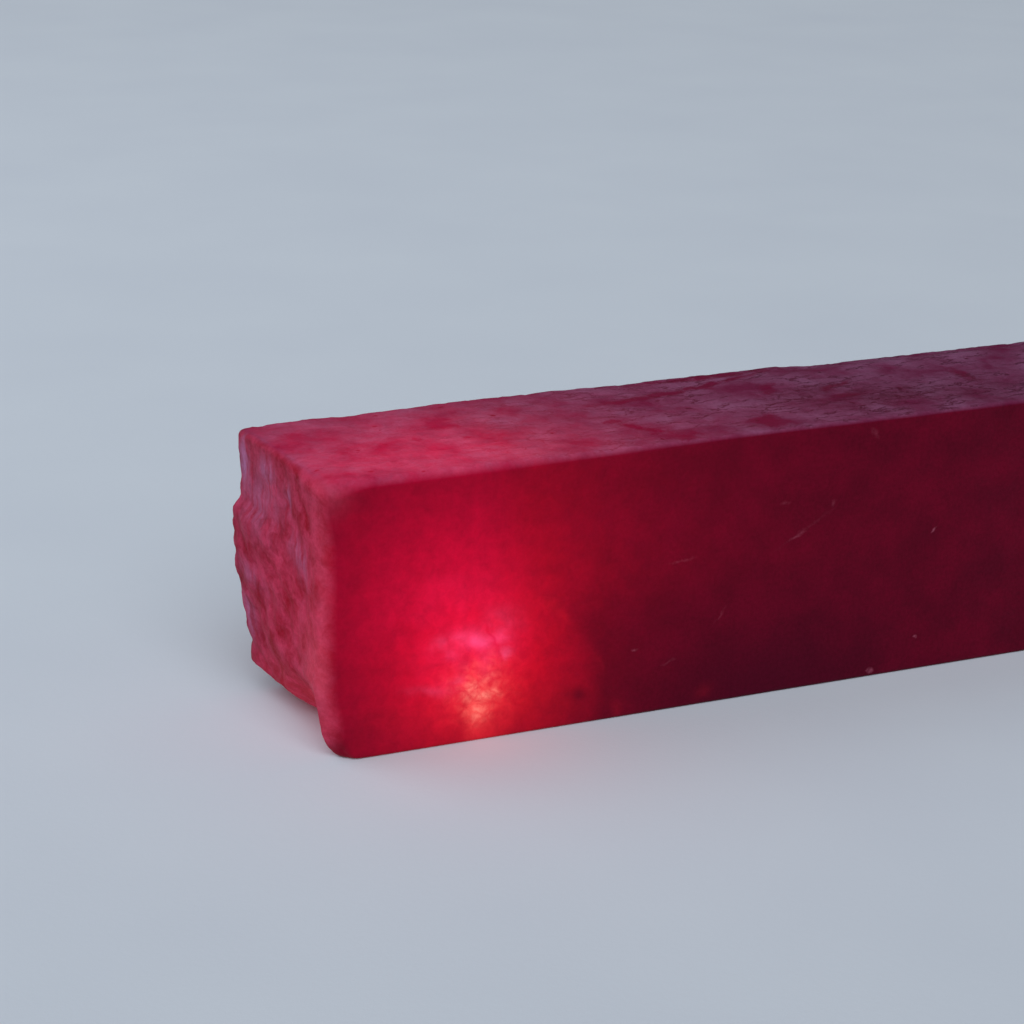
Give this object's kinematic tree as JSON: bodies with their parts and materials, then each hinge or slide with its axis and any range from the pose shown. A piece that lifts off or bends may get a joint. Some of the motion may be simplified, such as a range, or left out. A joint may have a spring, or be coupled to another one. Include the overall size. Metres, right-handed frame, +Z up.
{
  "type": "rough gemstone bar",
  "caption": "Sawn square bar of translucent red stone, flat on its long faces, with one fractured, undercut end.",
  "frame": {"origin": "centre of the bar's box, on the plane that the bar lies on", "axes": "+X along the bar from its broken end to its sawn end, +Y from the ground front face to the back face, +Z up"},
  "size_m": [0.14, 0.027, 0.035],
  "materials": {
    "ruby": "sawn and lightly ground, satin, cloudy and translucent; the broken end is hackly",
    "dark_mineral": "natural dark grain sealed inside the ruby"
  },
  "bodies": {
    "root": {"ruby_bar": "ruby", "dark_inclusion": "dark_mineral"}
  },
  "joints": []
}
